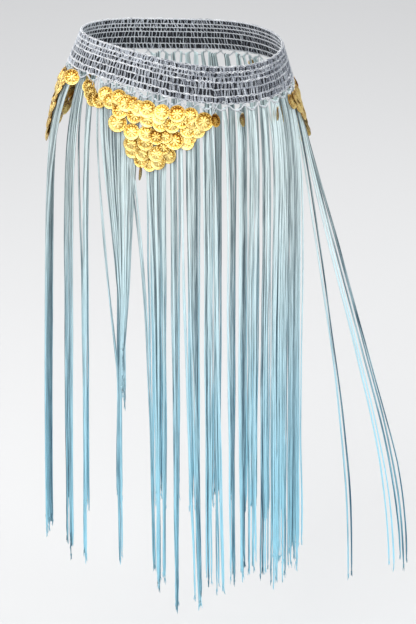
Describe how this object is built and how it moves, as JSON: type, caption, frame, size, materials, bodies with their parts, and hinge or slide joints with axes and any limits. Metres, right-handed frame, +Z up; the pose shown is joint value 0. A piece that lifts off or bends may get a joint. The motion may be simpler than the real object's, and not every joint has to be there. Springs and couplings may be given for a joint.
{
  "type": "belly dance hip scarf",
  "caption": "Crocheted hip scarf in its worn ring form, with a scalloped edge, triangular coin aprons and a long cord fringe.",
  "frame": {"origin": "centre of the band's hollow, where the wearer's waist and hips hold it", "axes": "+Z up, -Y the wearer's front, +X the wearer's left"},
  "size_m": [0.5579, 0.2902, 0.8855],
  "materials": {
    "band": "matte grey-blue crocheted yarn with pale ridges",
    "edge": "matte pale grey chain stitch",
    "fringe": "soft pale blue cord with a low silky sheen",
    "coins": "bright gold stamped metal"
  },
  "bodies": {
    "root": {"band": "band", "scallop_edge": "edge", "fringe_side_right": "fringe", "fringe_right_a": "fringe", "fringe_right_b": "fringe", "fringe_fan": "fringe", "fringe_front_a": "fringe", "fringe_front_b": "fringe", "fringe_front_c": "fringe", "fringe_front_d": "fringe", "fringe_front_e": "fringe", "fringe_front_f": "fringe", "fringe_front_g": "fringe", "fringe_left_a": "fringe", "fringe_left_b": "fringe", "fringe_left_c": "fringe", "fringe_left_d": "fringe", "fringe_left_e": "fringe", "fringe_flared_a": "fringe", "fringe_flared_b": "fringe", "fringe_back_a": "fringe", "fringe_back_b": "fringe", "fringe_back_c": "fringe", "fringe_back_d": "fringe", "fringe_back_e": "fringe", "fringe_back_f": "fringe", "fringe_back_g": "fringe", "fringe_back_h": "fringe", "fringe_back_i": "fringe", "fringe_back_j": "fringe", "fringe_back_k": "fringe", "fringe_back_l": "fringe", "fringe_back_m": "fringe", "coins_front": "coins", "coins_side_right": "coins", "coins_side_left": "coins", "coin_a": "coins", "coin_b": "coins", "coin_c": "coins"}
  },
  "joints": []
}
